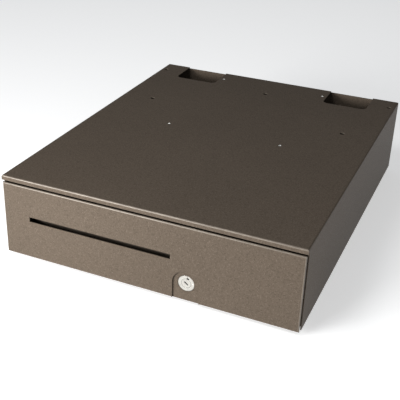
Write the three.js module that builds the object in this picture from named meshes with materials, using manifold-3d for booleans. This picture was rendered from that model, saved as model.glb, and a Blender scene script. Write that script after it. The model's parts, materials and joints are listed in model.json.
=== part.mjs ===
// Cash drawer: a folded steel case with a drawer on ball slides, a lock, a till tray
// and an electric release.
// Millimetres, +Z up. X runs across the front, Y runs from the front to the rear.
// Inside the group, X is centred, Y counts from the front lip's face and Z from the case's bottom edge.
import * as THREE from "three";
import { mergeVertices } from "three/addons/utils/BufferGeometryUtils.js";
import Module from "manifold-3d";

const wasm = await Module();
wasm.setup();

// ---- case
const caseWidth = 410;
const caseDepth = 508;
const caseHeight = 113;
const caseSheet = 1.2;
const caseBend = 1.8; // outside radius of a fold
const contactGap = 0.3; // between pieces that touch
const past = 1; // how far a cut runs past the metal, or a joined body runs into its neighbour
const lipHeight = 6.4;
const sideSetback = 5.3; // the side walls' front edges stand behind the lip
const notchWidth = 70;
const notchDepth = 57;
const notchCorner = 9;
const notchOffset = 129; // centre of a rear notch from the middle
const notchRearDrop = 1.6; // the rear panel's edge below the top face at a notch
const topHoleRadius = 3.6;
const edgeHoleInset = 9.4; // from the side
const edgeHoleFromRear = 30;
const shoulderHoleInset = 50;
const shoulderHoleFromRear = 168;
const middleHoleFromRear = 64;
const insertOffset = 86.8;
const insertFromRear = [30, 251.5];
const insertRadius = 2.1;
const insertBore = 1.25;
const insertFlange = 4.2;
const insertLength = 3;
const baseFlange = 14;
const baseFront = 12;
const rearFlange = 12;
const footHeight = 6;
const footRadius = 11;
const footStem = 4;
const footEdge = 1.2; // chamfer round the sole
const footHeadLip = 1.5;
const footHeadHeight = 2.5;
const footInset = 35;
const footFromFront = 45;
const footFromRear = 38;

// ---- drawer
const frontSheet = 1.2;
const frontSide = 1; // the drawer front's edge inside the case's side face
const frontProud = 0.5; // the drawer front's face ahead of the lip's face
const frontReturn = 2.5; // depth of the folded edges
const frontBottom = -0.75;
const lipGap = 3.1;
const slotWidth = 202;
const slotHeight = 7;
const slotOffset = -64.5;
const slotCentreHeight = 57.3;
const slotClearance = 1; // the pan's slot round the front's
const panSheet = 1;
const panFront = 1;
const rearSpace = 76; // from the pan's rear wall to the case's rear face, for the release
const panBottom = 9;
const panTopDrop = 11.5; // the pan's rim below the drawer front's top edge
const chuteRise = 6; // the guide's bend above the slot
const chuteTab = 9;
const chuteSideLap = 3;

// ---- ball slides, one on each side; depths count inwards from the case's side wall
const slideThickness = 12.5; // from the side wall to the inner member's web
const slideHalfHeight = 17.5;
const slideStart = 22;
const slidePastPan = 20; // the outer members run on behind the pan
const innerSetForward = 10;
const slideSheet = 1.2;
const raceGap = 2.8; // between two members' flanges, for the balls
const cageSheet = 0.6;
const cageStart = 150;
const cageLength = 150;
const ballRadius = 1.2;
const ballsPerRow = 5;
const ballPitch = 32;

// ---- lock
const lockOffset = 58;
const lockHeight = 23.6;
const lockFaceRadius = 10.65;
const lockHoleRadius = 11.2;
const lockBarrelRadius = 9.3;
const lockBarrelEnd = 27;
const plugStandOff = 1; // the plug's end behind the barrel's
const lockFlange = 3;
const nutCorner = 13.2;
const nutThickness = 4;
const plugRadius = 6.2;
const keywayWidth = 1.6;
const keywayHeight = 6.4;
const keywayDepth = 9;
const keywayTurn = -52; // degrees from upright, clockwise seen from the front
const rimNotch = { turn: 17, width: 3.2, depth: 1.4 };
const rimScore = { turn: 84, width: 0.8, depth: 0.4 };
const recessRadius = 17.9;
const recessDepth = 2.2;
const rodRadius = 3;
const rodTail = 10; // the rod's end behind the pan
const tailSquare = 6;
const tailLength = 9;
const camReach = 19;
const camThickness = 4;
const camHub = 7;
const camHalfWidth = 4;
const socketRadius = 6.5;
const socketEnd = 6; // solid metal behind the socket
const bushNeck = 5.6;
const bushFlange = 8;
const bushFlangeThickness = 3;
const lockBracketHalf = 24;
const lockBracketFoot = 22;

// ---- till
const tillSideGap = 4; // to the pan's side walls
const tillDepth = 290;
const tillHeight = 58;
const tillFront = 24;
const tillWall = 2.5;
const tillDivider = 2;
const tillFloor = 2.2;
const tillCorner = 6;
const bays = 5;
const noteBayDepth = 165;
const coinScoop = 34; // radius of the coin cups' curved ends
const coinFloorRise = 8;
const ledgeHeight = 41.4; // top of the ledges that carry the till
const ledgeWidth = 12;
const ledgeDrop = 11;
const axleRadius = 2;
const axleInset = 1; // the axle's ends inside the till's sides
const axleFromTop = 6;
const axleFromRear = 8;
const weightSleeve = { radius: 4.2, length: 30 };
const weightPad = { width: 46, length: 50, thickness: 3, back: 48 };
const weightArmWidth = 16;

// ---- release, behind the pan; depths count from the pan's rear wall
const latchPivotOffset = 16;
const latchPivotDepth = 50;
const latchReleased = 16; // degrees between the released and the engaged lever
const latchPinRadius = 3;
const leverBossWall = 1.7;
const latchSpringWall = 2.2;
const leverBottom = 20;
const leverThickness = 3;
const strikerPinOffset = 12;
const strikerPinDepth = 15;
const strikerPinRadius = 2.5;
const strikerHalf = 10;
const strikerFootRise = 6; // its lower edge above the pan's bottom
const pinHead = { overhang: 2, thickness: 2.5, clearance: 6 };
const tailReach = 5.5; // the plunger's cross pin from the pivot pin's surface
const crossPinRadius = 1.3;
const crossPinPlay = 0.8;
const bracketSheet = 1.5;
const bracketLeft = -46;
const bracketRight = 60;
const bracketDepth = 16;
const bracketLength = 53;
const bracketFlange = 11;
const solenoidHalf = 11;
const solenoidLeft = -42;
const solenoidRight = -8;
const plungerInset = 8; // the plunger's end inside the frame
const coilRadius = 9;
const plungerRadius = 3.5;
const plungerFork = { length: 11, half: 4, cheekFront: 2.6, cheekGap: 1, cheekThickness: 2.5 };
const ejectorOffset = -78;
const ejectorHeight = 26;
const ejectorDepth = 14;
const ejectorLength = 57;
const ejectorRadius = 8;
const ejectorBore = 6.4;
const ejectorRod = 4;
const ejectorWall = 3;
const ejectorTravel = 30;
const ejectorCap = { radius: 5.5, thickness: 4 };
const pistonPlay = 1; // left ahead of the piston at full stroke
const pistonLength = 5;
const ejectorSpringWall = 1.6;
const ejectorFoot = { half: 14, postHalf: 6, inset: 6, thickness: 2 };
const switchOffset = -28;
const switchDepth = 9;
const switchWall = 1.2;
const switchPlay = 0.5; // under the leaf's tab
const switchCase = { half: 11, depth: 6.2, height: 18, windowHalf: 2.2 };
const leafHeight = 4;
const leafRise = 12.5; // above the base
const leafPivotOffset = 8;
const leafReach = 12; // its roller's axis from the switch's middle
const leafSheet = 0.8;
const leafTab = 1; // half the thickness of its hinge tab
const jackOffset = 78;
const jackWidth = 14;
const jackHeight = 13;
const jackLength = 19;
const jackWall = 1.5;
const jackSocketDepth = 12;
const boardHeight = 18;
const boardSheet = 1.6;
const boardLength = 47;
const boardSetForward = 5; // from the rear face
const boardHalf = 14;
const standoffRadius = 2.5;
const standoffInset = 4;

// ---- derived
const innerHalf = caseWidth / 2 - caseSheet;
const roof = caseHeight - caseSheet;
const frontHalf = caseWidth / 2 - frontSide;
const frontTop = caseHeight - lipHeight - lipGap;
const frontFace = -frontProud;
const recessFace = frontFace + recessDepth;
const panHalf = innerHalf - slideThickness - contactGap;
const panRear = caseDepth - rearSpace;
const panTop = frontTop - panTopDrop;
const slideHeight = (panBottom + panTop) / 2 - 0.5;
const slideLength = panRear + slidePastPan - slideStart;
const innerStart = slideStart - innerSetForward;
const tillWidth = 2 * (panHalf - panSheet - tillSideGap);
const axleHalf = tillWidth / 2 - axleInset - contactGap;
const tillBottom = ledgeHeight + contactGap;
const tillTop = tillBottom + tillHeight;
const tillRear = tillFront + tillDepth;
const axle = [tillRear - axleFromRear, tillTop - axleFromTop];
const bayWidth = (tillWidth - 2 * tillWall - (bays - 1) * tillDivider) / bays;
const lockFace = recessFace + contactGap;
const lockAxis = [lockOffset, lockHeight];
const bracketFace = lockFace + lockFlange + contactGap;
const plugEnd = lockBarrelEnd + plugStandOff;
const rodEnd = panRear + rodTail;
const latchPivot = [latchPivotOffset, panRear + latchPivotDepth];
const leverBoss = latchPinRadius + contactGap + leverBossWall;
const tailArm = latchPinRadius + tailReach;
const strikerPinRear = panRear + strikerPinDepth;
const bracketFront = panRear + bracketDepth;
const bracketRear = bracketFront + bracketLength;
const ejectorFront = panRear + ejectorDepth;
const ejectorRear = ejectorFront + ejectorLength;
const slotLow = slotCentreHeight - slotHeight / 2;
const slotHigh = slotCentreHeight + slotHeight / 2;

const finish = {
  coat: new THREE.MeshStandardMaterial({ color: 0x857a6e, roughness: 0.55, metalness: 0.2 }),
  zinc: new THREE.MeshStandardMaterial({ color: 0xb4b6b8, roughness: 0.35, metalness: 0.9 }),
  nickel: new THREE.MeshStandardMaterial({ color: 0xb9b4ac, roughness: 0.3, metalness: 1 }),
  blackPlastic: new THREE.MeshStandardMaterial({ color: 0x1c1c1d, roughness: 0.5, metalness: 0 }),
  whitePlastic: new THREE.MeshStandardMaterial({ color: 0xdedcd4, roughness: 0.5, metalness: 0 }),
  rubber: new THREE.MeshStandardMaterial({ color: 0x161616, roughness: 0.85, metalness: 0 }),
  copper: new THREE.MeshStandardMaterial({ color: 0xa65f32, roughness: 0.35, metalness: 0.9 }),
  board: new THREE.MeshStandardMaterial({ color: 0x1f5a35, roughness: 0.5, metalness: 0 }),
};

// ---- shape tools
function solid(geometry) {
  const bare = geometry.index ? geometry.clone() : geometry;
  bare.deleteAttribute("normal");
  bare.deleteAttribute("uv");
  const merged = mergeVertices(bare, 1e-4);
  return new wasm.Manifold(
    new wasm.Mesh({
      numProp: 3,
      vertProperties: new Float32Array(merged.attributes.position.array),
      triVerts: new Uint32Array(merged.index.array),
    }),
  );
}

// A box between two values on each axis, given in either order.
function block([x0, x1], [y0, y1], [z0, z1]) {
  const box = new THREE.BoxGeometry(Math.abs(x1 - x0), Math.abs(y1 - y0), Math.abs(z1 - z0));
  box.translate((x0 + x1) / 2, (y0 + y1) / 2, (z0 + z1) / 2);
  return solid(box);
}

// A cylinder along an axis, from one value to another, centred on the two other coordinates.
function rod(axis, radius, from, to, [a, b], sides = 20) {
  const cylinder = new THREE.CylinderGeometry(radius, radius, to - from, sides);
  const middle = (from + to) / 2;
  if (axis === "x") cylinder.rotateZ(-Math.PI / 2).translate(middle, a, b);
  if (axis === "y") cylinder.translate(a, middle, b);
  if (axis === "z") cylinder.rotateX(Math.PI / 2).translate(a, b, middle);
  return solid(cylinder);
}

// A body turned about a vertical axis at [x, y]; the profile is a list of [radius, height].
function turned(profile, [x, y], sides = 20) {
  const closed = profile[0][0] === 0 ? profile : [...profile, profile[0]];
  const lathe = new THREE.LatheGeometry(
    closed.map(([radius, height]) => new THREE.Vector2(radius, height)),
    sides,
  );
  lathe.rotateX(Math.PI / 2);
  lathe.translate(x, y, 0);
  return solid(lathe);
}

function shapeOf(points) {
  return new THREE.Shape(points.map(([a, b]) => new THREE.Vector2(a, b)));
}

// A flat shape carried along an axis.
// Its two coordinates are [x, y] along z, [x, z] along y and [y, z] along x.
function prism(axis, shape, from, to) {
  const depth = to - from;
  const body = new THREE.ExtrudeGeometry(shape, { depth, bevelEnabled: false, curveSegments: 6 });
  if (axis === "x") body.rotateY(Math.PI / 2).rotateX(Math.PI / 2).translate(from, 0, 0);
  if (axis === "y") body.rotateX(Math.PI / 2).translate(0, to, 0);
  if (axis === "z") body.translate(0, 0, from);
  return solid(body);
}

// A folded strip of sheet: the path is its outer face, and the metal lies on the path's left.
function foldedSheet(path, thickness, bend, steps = 3) {
  const outer = [];
  const inner = [];
  const put = (point, direction) => {
    outer.push([point.x, point.y]);
    inner.push([point.x - direction.y * thickness, point.y + direction.x * thickness]);
  };
  const corners = path.map(([a, b]) => new THREE.Vector2(a, b));
  corners.forEach((corner, i) => {
    const before = i > 0 ? corner.clone().sub(corners[i - 1]).normalize() : null;
    const after = i < corners.length - 1 ? corners[i + 1].clone().sub(corner).normalize() : null;
    if (!before || !after) {
      put(corner, before ?? after);
      return;
    }
    const turn = Math.atan2(before.cross(after), before.dot(after));
    const side = Math.sign(turn);
    const radius = side > 0 ? bend : Math.max(bend - thickness, thickness / 4);
    const run = radius * Math.tan(Math.abs(turn) / 2);
    const start = corner.clone().addScaledVector(before, -run);
    const offset = side * radius;
    const centre = new THREE.Vector2(start.x - before.y * offset, start.y + before.x * offset);
    for (let step = 0; step <= steps; step += 1) {
      const angle = (turn * step) / steps;
      const direction = before.clone().rotateAround(new THREE.Vector2(), angle);
      const point = new THREE.Vector2(
        centre.x + direction.y * side * radius,
        centre.y - direction.x * side * radius,
      );
      put(point, direction);
    }
  });
  return shapeOf([...outer, ...inner.reverse()]);
}

// A rectangle with round corners.
function roundedBox(width, height, radius, centre = [0, 0]) {
  const shape = new THREE.Shape();
  const [x0, x1] = [centre[0] - width / 2, centre[0] + width / 2];
  const [y0, y1] = [centre[1] - height / 2, centre[1] + height / 2];
  shape.moveTo(x0 + radius, y0);
  shape.lineTo(x1 - radius, y0);
  shape.absarc(x1 - radius, y0 + radius, radius, -Math.PI / 2, 0);
  shape.absarc(x1 - radius, y1 - radius, radius, 0, Math.PI / 2);
  shape.absarc(x0 + radius, y1 - radius, radius, Math.PI / 2, Math.PI);
  shape.absarc(x0 + radius, y0 + radius, radius, Math.PI, Math.PI * 1.5);
  return shape;
}

const drawerUnit = new THREE.Group();
drawerUnit.position.set(0, frontProud / 2 - caseDepth / 2, footHeight);

function addPiece(name, body, material, parent = drawerUnit) {
  const { numProp, vertProperties, triVerts } = body.getMesh();
  const positions = new Float32Array((vertProperties.length / numProp) * 3);
  for (let i = 0; i < positions.length / 3; i += 1) {
    positions.set(vertProperties.subarray(i * numProp, i * numProp + 3), i * 3);
  }
  const geometry = new THREE.BufferGeometry();
  geometry.setAttribute("position", new THREE.BufferAttribute(positions, 3));
  geometry.setIndex(new THREE.BufferAttribute(new Uint32Array(triVerts), 1));
  geometry.computeVertexNormals();
  const mesh = new THREE.Mesh(geometry, material);
  mesh.name = name;
  parent.add(mesh);
}

const sides = [
  { word: "left", sign: -1 },
  { word: "right", sign: 1 },
];

// ---- case
function insertPlaces() {
  return insertFromRear.flatMap((fromRear) =>
    sides.map(({ sign }) => [sign * insertOffset, caseDepth - fromRear]),
  );
}

function footPlaces() {
  return [footFromFront, caseDepth - footFromRear].flatMap((y) =>
    sides.map(({ sign }) => [sign * (caseWidth / 2 - footInset), y]),
  );
}

function topHolePlaces() {
  const pairs = [
    [caseWidth / 2 - edgeHoleInset, caseDepth - edgeHoleFromRear],
    [caseWidth / 2 - shoulderHoleInset, caseDepth - shoulderHoleFromRear],
  ];
  const mirrored = pairs.flatMap(([x, y]) => sides.map(({ sign }) => [sign * x, y]));
  return [...mirrored, [0, caseDepth - middleHoleFromRear]];
}

function rearNotch(sign) {
  const shape = roundedBox(notchWidth, 2 * notchDepth, notchCorner, [sign * notchOffset, caseDepth]);
  return prism("z", shape, roof - past, caseHeight + past);
}

function caseCover() {
  const half = caseWidth / 2;
  const hood = foldedSheet(
    [[half, 0], [half, caseHeight], [-half, caseHeight], [-half, 0]],
    caseSheet,
    caseBend,
  );
  const lip = foldedSheet(
    [[sideSetback + past, caseHeight], [0, caseHeight], [0, caseHeight - lipHeight]],
    caseSheet,
    caseBend,
  );
  let body = prism("y", hood, 0, caseDepth);
  const setback = caseHeight - lipHeight;
  const across = [-half - past, half + past];
  body = body.subtract(block(across, [-past, sideSetback], [-past, setback]));
  const foldCut = block(across, [-past, caseBend], [roof - caseBend - past, caseHeight + past]);
  const sideEnds = body.intersect(foldCut).intersect(prism("x", lipOutline(), -half, half));
  body = body.subtract(foldCut).add(sideEnds);
  const lipHalf = half - caseSheet / 2;
  body = body.add(prism("x", lip, -lipHalf, lipHalf).intersect(hoodEnvelope()));
  topHolePlaces().forEach((place) => {
    body = body.subtract(rod("z", topHoleRadius, roof - past, caseHeight + past, place, 16));
  });
  insertPlaces().forEach((place) => {
    const bore = insertRadius + contactGap;
    body = body.subtract(rod("z", bore, roof - past, caseHeight + past, place, 12));
  });
  sides.forEach(({ sign }) => {
    body = body.subtract(rearNotch(sign));
  });
  return body;
}

// The space inside the lip's outer fold, so that the side walls' corners follow the fold.
function lipOutline() {
  const shape = new THREE.Shape();
  shape.moveTo(0, 0);
  shape.lineTo(caseBend + 2, 0);
  shape.lineTo(caseBend + 2, caseHeight);
  shape.lineTo(caseBend, caseHeight);
  shape.absarc(caseBend, caseHeight - caseBend, caseBend, Math.PI / 2, Math.PI);
  return shape;
}

// The space inside the hood's outer face, filled.
function hoodEnvelope() {
  const half = caseWidth / 2;
  const shape = new THREE.Shape();
  shape.moveTo(-half, 0);
  shape.lineTo(half, 0);
  shape.absarc(half - caseBend, caseHeight - caseBend, caseBend, 0, Math.PI / 2);
  shape.absarc(caseBend - half, caseHeight - caseBend, caseBend, Math.PI / 2, Math.PI);
  return prism("y", shape, -past, caseDepth);
}

function basePan() {
  const half = innerHalf - contactGap;
  const flangeEnd = caseDepth - rearFlange - 2 * contactGap;
  const tray = foldedSheet(
    [[-half, baseFlange], [-half, 0], [half, 0], [half, baseFlange]],
    caseSheet,
    caseBend,
  );
  const floorRear = caseDepth - caseSheet - contactGap;
  const floorHalf = half - caseBend;
  const floor = block([-floorHalf, floorHalf], [flangeEnd - past, floorRear], [0, caseSheet]);
  let body = prism("y", tray, baseFront, flangeEnd).add(floor);
  footPlaces().forEach((place) => {
    body = body.subtract(rod("z", footStem + contactGap, -past, caseSheet + past, place));
  });
  return body;
}

function rearPanel() {
  const half = innerHalf - contactGap;
  const front = caseDepth - rearFlange;
  const panel = foldedSheet(
    [[-half, front], [-half, caseDepth], [half, caseDepth], [half, front]].reverse(),
    caseSheet,
    caseBend,
  );
  let body = prism("z", panel, caseSheet + contactGap, roof - contactGap);
  sides.forEach(({ sign }) => {
    const middle = sign * notchOffset;
    body = body.subtract(
      block(
        [middle - notchWidth / 2, middle + notchWidth / 2],
        [front - past, caseDepth + past],
        [caseHeight - notchRearDrop, caseHeight],
      ),
    );
  });
  const jackLow = boardHeight + boardSheet;
  return body.subtract(
    block(
      [jackOffset - jackWidth / 2 - contactGap, jackOffset + jackWidth / 2 + contactGap],
      [front, caseDepth + past],
      [jackLow, jackLow + jackHeight + 3 * contactGap],
    ),
  );
}

addPiece("case_cover", caseCover(), finish.coat);
addPiece("base_pan", basePan(), finish.coat);
addPiece("rear_panel", rearPanel(), finish.coat);

insertPlaces().forEach((place, i) => {
  const flangeTop = roof - contactGap;
  const profile = [
    [insertBore, flangeTop - insertLength],
    [insertFlange, flangeTop - insertLength],
    [insertFlange, flangeTop],
    [insertRadius, flangeTop],
    [insertRadius, caseHeight],
    [insertBore, caseHeight],
  ];
  addPiece(`top_insert_${i + 1}`, turned(profile, place, 12), finish.zinc);
});

footPlaces().forEach((place, i) => {
  const headBottom = caseSheet + contactGap;
  const profile = [
    [0, -footHeight],
    [footRadius - footEdge, -footHeight],
    [footRadius, -footHeight + footEdge],
    [footRadius, -contactGap],
    [footStem, -contactGap],
    [footStem, headBottom],
    [footStem + footHeadLip, headBottom],
    [footStem - 1, headBottom + footHeadHeight],
    [0, headBottom + footHeadHeight],
  ];
  addPiece(`foot_${i + 1}`, turned(profile, place, 16), finish.rubber);
});

// ---- ball slides
const outerMember = { from: contactGap, to: 9, half: slideHalfHeight };
const outerCage = {
  from: outerMember.from + slideSheet + contactGap,
  to: 8.4,
  half: slideHalfHeight - slideSheet - raceGap / 2 + cageSheet / 2,
  ballDepth: 6,
  ballHeight: slideHalfHeight - slideSheet - raceGap / 2,
};
const middleMember = {
  from: outerCage.from + cageSheet + contactGap,
  to: 10.4,
  half: slideHalfHeight - slideSheet - raceGap,
};
const innerCage = {
  from: middleMember.from + slideSheet + contactGap,
  to: 9.9,
  half: middleMember.half - slideSheet - raceGap / 2 + cageSheet / 2,
  ballDepth: 8,
  ballHeight: middleMember.half - slideSheet - raceGap / 2,
};
const innerMember = {
  from: slideThickness,
  to: innerCage.from + cageSheet + 2 * contactGap,
  half: middleMember.half - slideSheet - raceGap,
};

function slideChannel(member, sheet, sign, start, length) {
  const inwards = Math.sign(member.to - member.from);
  const x = (depth) => sign * (innerHalf - depth);
  const path = [
    [x(member.to), slideHeight + member.half],
    [x(member.from), slideHeight + member.half],
    [x(member.from), slideHeight - member.half],
    [x(member.to), slideHeight - member.half],
  ];
  const outline = foldedSheet(sign * inwards > 0 ? path.reverse() : path, sheet, sheet * 1.5);
  return prism("y", outline, start, start + length);
}

function ballCage(cage, sign) {
  let body = slideChannel(cage, cageSheet, sign, cageStart, cageLength);
  const firstBall = cageStart + (cageLength - (ballsPerRow - 1) * ballPitch) / 2;
  for (let ball = 0; ball < ballsPerRow; ball += 1) {
    [-1, 1].forEach((row) => {
      const sphere = new THREE.IcosahedronGeometry(ballRadius, 0);
      sphere.translate(
        sign * (innerHalf - cage.ballDepth),
        firstBall + ball * ballPitch,
        slideHeight + row * cage.ballHeight,
      );
      body = body.add(solid(sphere));
    });
  }
  return body;
}

sides.forEach(({ word, sign }) => {
  const rail = (member, start) => slideChannel(member, slideSheet, sign, start, slideLength);
  addPiece(`rail_outer_${word}`, rail(outerMember, slideStart), finish.zinc);
  addPiece(`rail_middle_${word}`, rail(middleMember, slideStart), finish.zinc);
  addPiece(`rail_inner_${word}`, rail(innerMember, innerStart), finish.zinc);
  addPiece(`cage_outer_${word}`, ballCage(outerCage, sign), finish.zinc);
  addPiece(`cage_inner_${word}`, ballCage(innerCage, sign), finish.zinc);
});

// ---- drawer front and pan
// An arch round the lock: a half circle on top, straight sides down past the bottom edge.
function lockArch(radius, from, to) {
  const shape = new THREE.Shape();
  shape.moveTo(lockOffset - radius, frontBottom - past);
  shape.lineTo(lockOffset + radius, frontBottom - past);
  shape.absarc(lockOffset, lockHeight, radius, 0, Math.PI);
  return prism("y", shape, from, to);
}

// A plate with rounded front edges, from its front face back to a depth.
function frontBlank(inset, face, back, bend) {
  const half = frontHalf - inset;
  const [low, high] = [frontBottom + inset, frontTop - inset];
  const across = new THREE.Shape();
  across.moveTo(half, back);
  across.lineTo(-half, back);
  across.absarc(-half + bend, face + bend, bend, Math.PI, Math.PI * 1.5);
  across.absarc(half - bend, face + bend, bend, Math.PI * 1.5, Math.PI * 2);
  const upright = new THREE.Shape();
  upright.moveTo(back, low);
  upright.lineTo(back, high);
  upright.absarc(face + bend, high - bend, bend, Math.PI / 2, Math.PI);
  upright.absarc(face + bend, low + bend, bend, Math.PI, Math.PI * 1.5);
  return prism("z", across, low, high).intersect(prism("x", upright, -half, half));
}

function drawerFront() {
  const back = frontFace + frontReturn;
  const hollow = frontBlank(frontSheet, frontFace + frontSheet, back + past, caseBend - frontSheet);
  const outer = frontBlank(0, frontFace, back, caseBend);
  const cup = lockArch(recessRadius + frontSheet, frontFace + 0.4, recessFace + frontSheet)
    .subtract(lockArch(recessRadius, frontFace - past, recessFace))
    .intersect(block([-frontHalf, frontHalf], [frontFace, back + caseBend], [frontBottom, frontTop]));
  return outer
    .subtract(hollow)
    .subtract(lockArch(recessRadius, frontFace - past, back + past))
    .add(cup)
    .subtract(rod("y", lockHoleRadius, frontFace, back + caseBend, lockAxis, 28))
    .subtract(mediaSlot(0));
}

function mediaSlot(clearance) {
  return block(
    [slotOffset - slotWidth / 2 - clearance, slotOffset + slotWidth / 2 + clearance],
    [frontFace - past, panFront + panSheet + past],
    [slotLow - clearance, slotHigh + clearance],
  );
}

function drawerPan() {
  const tub = foldedSheet(
    [[-panHalf, panTop], [-panHalf, panBottom], [panHalf, panBottom], [panHalf, panTop]],
    panSheet,
    panSheet * 1.5,
  );
  const wallHalf = panHalf - panSheet / 2;
  const wall = (from) =>
    block([-wallHalf, wallHalf], [from, from + panSheet], [panBottom + panSheet / 2, panTop]);
  const recess = recessRadius + frontSheet + 2 * contactGap;
  return prism("y", tub, panFront, panRear)
    .add(wall(panFront))
    .add(wall(panRear - panSheet))
    .subtract(lockArch(recess, panFront - past, recessFace + frontSheet + contactGap))
    .subtract(mediaSlot(slotClearance))
    .subtract(rod("y", bushNeck + contactGap, panRear - panSheet - past, panRear + past, lockAxis));
}

// Turns papers pushed through the slot down, under the till.
function slotGuide() {
  const wall = panFront + panSheet + contactGap;
  const chuteTop = slotHigh + chuteRise;
  const path = [
    [wall, chuteTop + chuteTab],
    [wall, chuteTop],
    [tillFront - chuteSideLap, ledgeHeight - 1],
  ];
  const sheet = foldedSheet(path, panSheet, panSheet * 2);
  const half = slotWidth / 2 + chuteSideLap;
  return prism("x", sheet, slotOffset - half, slotOffset + half);
}

function tillLedge(sign) {
  const wall = panHalf - panSheet - contactGap;
  const path = [
    [sign * wall, ledgeHeight - ledgeDrop],
    [sign * wall, ledgeHeight],
    [sign * (wall - ledgeWidth), ledgeHeight],
  ];
  const sheet = foldedSheet(sign > 0 ? path : path.reverse(), slideSheet, slideSheet * 1.5);
  return prism("y", sheet, tillFront - 5, tillRear + 5);
}

addPiece("drawer_front", drawerFront(), finish.coat);
addPiece("drawer_pan", drawerPan(), finish.coat);
addPiece("slot_guide", slotGuide(), finish.coat);
sides.forEach(({ word, sign }) => addPiece(`till_ledge_${word}`, tillLedge(sign), finish.coat));

// ---- lock

function lockBracket() {
  const foot = panBottom + panSheet + contactGap;
  const path = [
    [bracketFace + lockBracketFoot, foot],
    [bracketFace, foot],
    [bracketFace, ledgeHeight - bracketSheet],
  ];
  const sheet = foldedSheet(path.reverse(), bracketSheet, bracketSheet * 1.5);
  const [left, right] = [lockOffset - lockBracketHalf, lockOffset + lockBracketHalf];
  const rear = bracketFace + bracketSheet + past;
  return prism("x", sheet, left, right).subtract(
    rod("y", lockBarrelRadius + contactGap, bracketFace - past, rear, lockAxis, 24),
  );
}

// A bar across the lock's face from one radius to another, turned clockwise from upright.
function faceBar(turn, width, [inner, outer], [front, back]) {
  const bar = new THREE.BoxGeometry(width, back - front, outer - inner);
  bar.translate(0, (front + back) / 2, (inner + outer) / 2);
  bar.rotateY(THREE.MathUtils.degToRad(turn));
  bar.translate(lockOffset, 0, lockHeight);
  return solid(bar);
}

function lockBody() {
  const rimMark = ({ turn, width, depth }) =>
    faceBar(turn, width, [plugRadius, lockFaceRadius + past], [lockFace - past, lockFace + depth]);
  const bore = plugRadius + contactGap;
  return rod("y", lockFaceRadius, lockFace, lockFace + lockFlange, lockAxis, 28)
    .add(rod("y", lockBarrelRadius, lockFace + past, lockBarrelEnd, lockAxis, 24))
    .subtract(rod("y", bore, lockFace - past, lockBarrelEnd + past, lockAxis, 24))
    .subtract(rimMark(rimNotch))
    .subtract(rimMark(rimScore));
}

function lockNut() {
  const front = bracketFace + bracketSheet + contactGap;
  const corners = Array.from({ length: 6 }, (_, i) => (i * Math.PI) / 3);
  const hexagon = corners.map((angle) => [
    lockOffset + nutCorner * Math.cos(angle),
    lockHeight + nutCorner * Math.sin(angle),
  ]);
  const back = front + nutThickness;
  return prism("y", shapeOf(hexagon), front, back).subtract(
    rod("y", lockBarrelRadius + contactGap, front - past, back + past, lockAxis, 24),
  );
}

function lockPlug() {
  const keyway = faceBar(
    keywayTurn,
    keywayWidth,
    [-keywayHeight / 2, keywayHeight / 2],
    [lockFace - past, lockFace + keywayDepth],
  );
  const tail = block(
    [lockOffset - tailSquare / 2, lockOffset + tailSquare / 2],
    [lockBarrelEnd, plugEnd + tailLength],
    [lockHeight - tailSquare / 2, lockHeight + tailSquare / 2],
  );
  return rod("y", plugRadius, lockFace, plugEnd, lockAxis, 24).subtract(keyway).add(tail);
}

function lockRod() {
  const front = plugEnd + contactGap;
  const socketRear = front + tailLength + socketEnd;
  const socketHalf = tailSquare / 2 + contactGap;
  const socket = block(
    [lockOffset - socketHalf, lockOffset + socketHalf],
    [front - past, front + tailLength + contactGap],
    [lockHeight - socketHalf, lockHeight + socketHalf],
  );
  return rod("y", socketRadius, front, socketRear, lockAxis, 16)
    .subtract(socket)
    .add(rod("y", rodRadius, socketRear - 2 * past, rodEnd, lockAxis, 12));
}

function rodBush() {
  const flangeRear = panRear - panSheet - contactGap;
  const flangeFront = flangeRear - bushFlangeThickness;
  const neckRear = panRear + 2 * panSheet;
  return rod("y", bushFlange, flangeFront, flangeRear, lockAxis)
    .add(rod("y", bushNeck, flangeRear - past, neckRear, lockAxis))
    .subtract(rod("y", rodRadius + contactGap, flangeFront - past, neckRear + past, lockAxis));
}

// A cam on the rod's tail; its arm hangs straight down when the lock is open.
function lockTailCam() {
  const rear = rodEnd;
  const front = rear - camThickness;
  const [left, right] = [lockOffset - camHalfWidth, lockOffset + camHalfWidth];
  return rod("y", camHub, front, rear, lockAxis)
    .add(block([left, right], [front, rear], [lockHeight - camReach, lockHeight]))
    .subtract(rod("y", rodRadius + contactGap, front - past, rear + past, lockAxis, 12));
}

addPiece("lock_bracket", lockBracket(), finish.zinc);
addPiece("lock_body", lockBody(), finish.nickel);
addPiece("lock_nut", lockNut(), finish.zinc);
addPiece("lock_plug", lockPlug(), finish.nickel);
addPiece("lock_rod", lockRod(), finish.zinc);
addPiece("rod_bush", rodBush(), finish.whitePlastic);
addPiece("lock_tail_cam", lockTailCam(), finish.zinc);

// ---- till
function bayCentre(bay) {
  return (bay - (bays - 1) / 2) * (bayWidth + tillDivider);
}

// A coin cup's outline from the side: flat in the middle, curved up at both ends.
function coinCupOutline(front, rear) {
  const floor = tillBottom + tillFloor + coinFloorRise;
  const shape = new THREE.Shape();
  shape.moveTo(front, tillTop + past);
  shape.lineTo(front, floor + coinScoop);
  shape.absarc(front + coinScoop, floor + coinScoop, coinScoop, Math.PI, Math.PI * 1.5);
  shape.absarc(rear - coinScoop, floor + coinScoop, coinScoop, Math.PI * 1.5, Math.PI * 2);
  shape.lineTo(rear, tillTop + past);
  return shape;
}

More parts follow.
